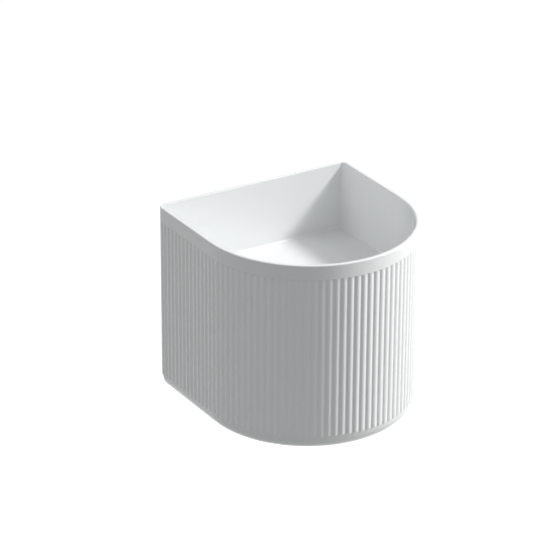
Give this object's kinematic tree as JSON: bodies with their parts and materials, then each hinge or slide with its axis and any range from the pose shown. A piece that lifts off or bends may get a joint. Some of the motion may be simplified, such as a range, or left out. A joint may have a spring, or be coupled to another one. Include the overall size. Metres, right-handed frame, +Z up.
{
  "type": "wall-hung basin",
  "caption": "Deep D-shaped wall-hung basin with a fluted ceramic skirt, a lift-off waste cover and a bottle trap inside the skirt.",
  "frame": {"origin": "on the wall plane, midway between the two fixing holes", "axes": "+Y into the wall, so the basin stands out towards -Y; +X to the right seen from the front; +Z up"},
  "size_m": [0.41, 0.4619, 0.372],
  "materials": {
    "glazed_ceramic": "white glossy glaze on fireclay",
    "cover_ceramic": "white glossy glaze",
    "stem_plastic": "moulded",
    "black_rubber": "moulded, matt",
    "chromed_brass": "polished chrome plate",
    "raw_brass": "turned",
    "washer_plastic": "moulded, off-white",
    "trap_plastic": "moulded, satin white",
    "zinc_steel": "zinc plated"
  },
  "bodies": {
    "basin": {"basin_body": "glazed_ceramic", "waste_flange": "chromed_brass", "flange_seal": "black_rubber", "waste_gasket": "black_rubber", "slip_washer": "washer_plastic", "backnut": "raw_brass", "trap_inlet_nut": "trap_plastic", "inlet_washer": "black_rubber", "dip_tube": "trap_plastic", "dip_tube_nut": "trap_plastic", "dip_tube_seal": "black_rubber", "trap_body": "trap_plastic", "outlet_nut": "trap_plastic", "outlet_seal": "black_rubber", "outlet_tube": "trap_plastic", "wall_rosette": "trap_plastic", "hanger_bolts": "zinc_steel", "bolt_bushes": "washer_plastic", "bolt_washers": "zinc_steel", "bolt_nuts": "zinc_steel"},
    "cover": {"waste_cover": "cover_ceramic", "cover_stem": "stem_plastic", "cover_o_ring": "black_rubber"},
    "cup_carrier": {"cup_seal": "black_rubber"},
    "cup": {"trap_cup": "trap_plastic"}
  },
  "joints": [
    {"name": "cover_lift", "type": "slide", "parent": "basin", "child": "cover", "axis": [0, 0, 1], "range_m": [0, 0.16]},
    {"name": "cup_turn", "type": "hinge", "parent": "basin", "child": "cup_carrier", "pos_m": [0, -0.195, -0.14], "axis": [0, 0, -1], "range_deg": [0, 1080]},
    {"name": "cup_drop", "type": "slide", "parent": "cup_carrier", "child": "cup", "axis": [0, 0, -1], "range_m": [0, 0.009]}
  ],
  "couplings": [
    {"joint": "cup_drop", "follows": "cup_turn", "m_per_rad": 0.00047746}
  ]
}
